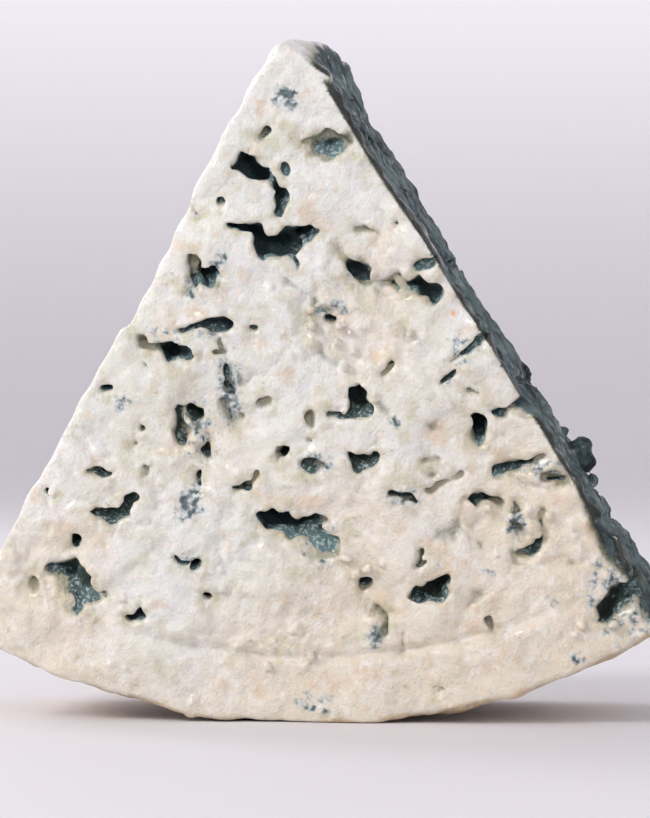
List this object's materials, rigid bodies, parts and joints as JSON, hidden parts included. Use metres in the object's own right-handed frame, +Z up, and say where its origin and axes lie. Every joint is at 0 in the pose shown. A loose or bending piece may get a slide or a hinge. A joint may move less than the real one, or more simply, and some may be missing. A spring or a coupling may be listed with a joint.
{
  "type": "cheese wedge",
  "caption": "Wedge of blue-veined cheese cut from a round wheel, standing on its curved rind with its blunt tip up, with open mould-lined pits in its cut faces.",
  "frame": {"origin": "on the ground, under the middle of the wedge's bounding box", "axes": "+X along the rind, from the left side cut to the right one; +Y from the level-cut front face to the wheel's flat rind at the back; +Z up, towards the tip"},
  "size_m": [0.0974, 0.045, 0.0927],
  "materials": {
    "cheese": "moist creamy paste with blue-green mould in its pits, and a thin ivory-brown rind"
  },
  "bodies": {
    "root": {"cheese_wedge": "cheese"}
  },
  "joints": []
}
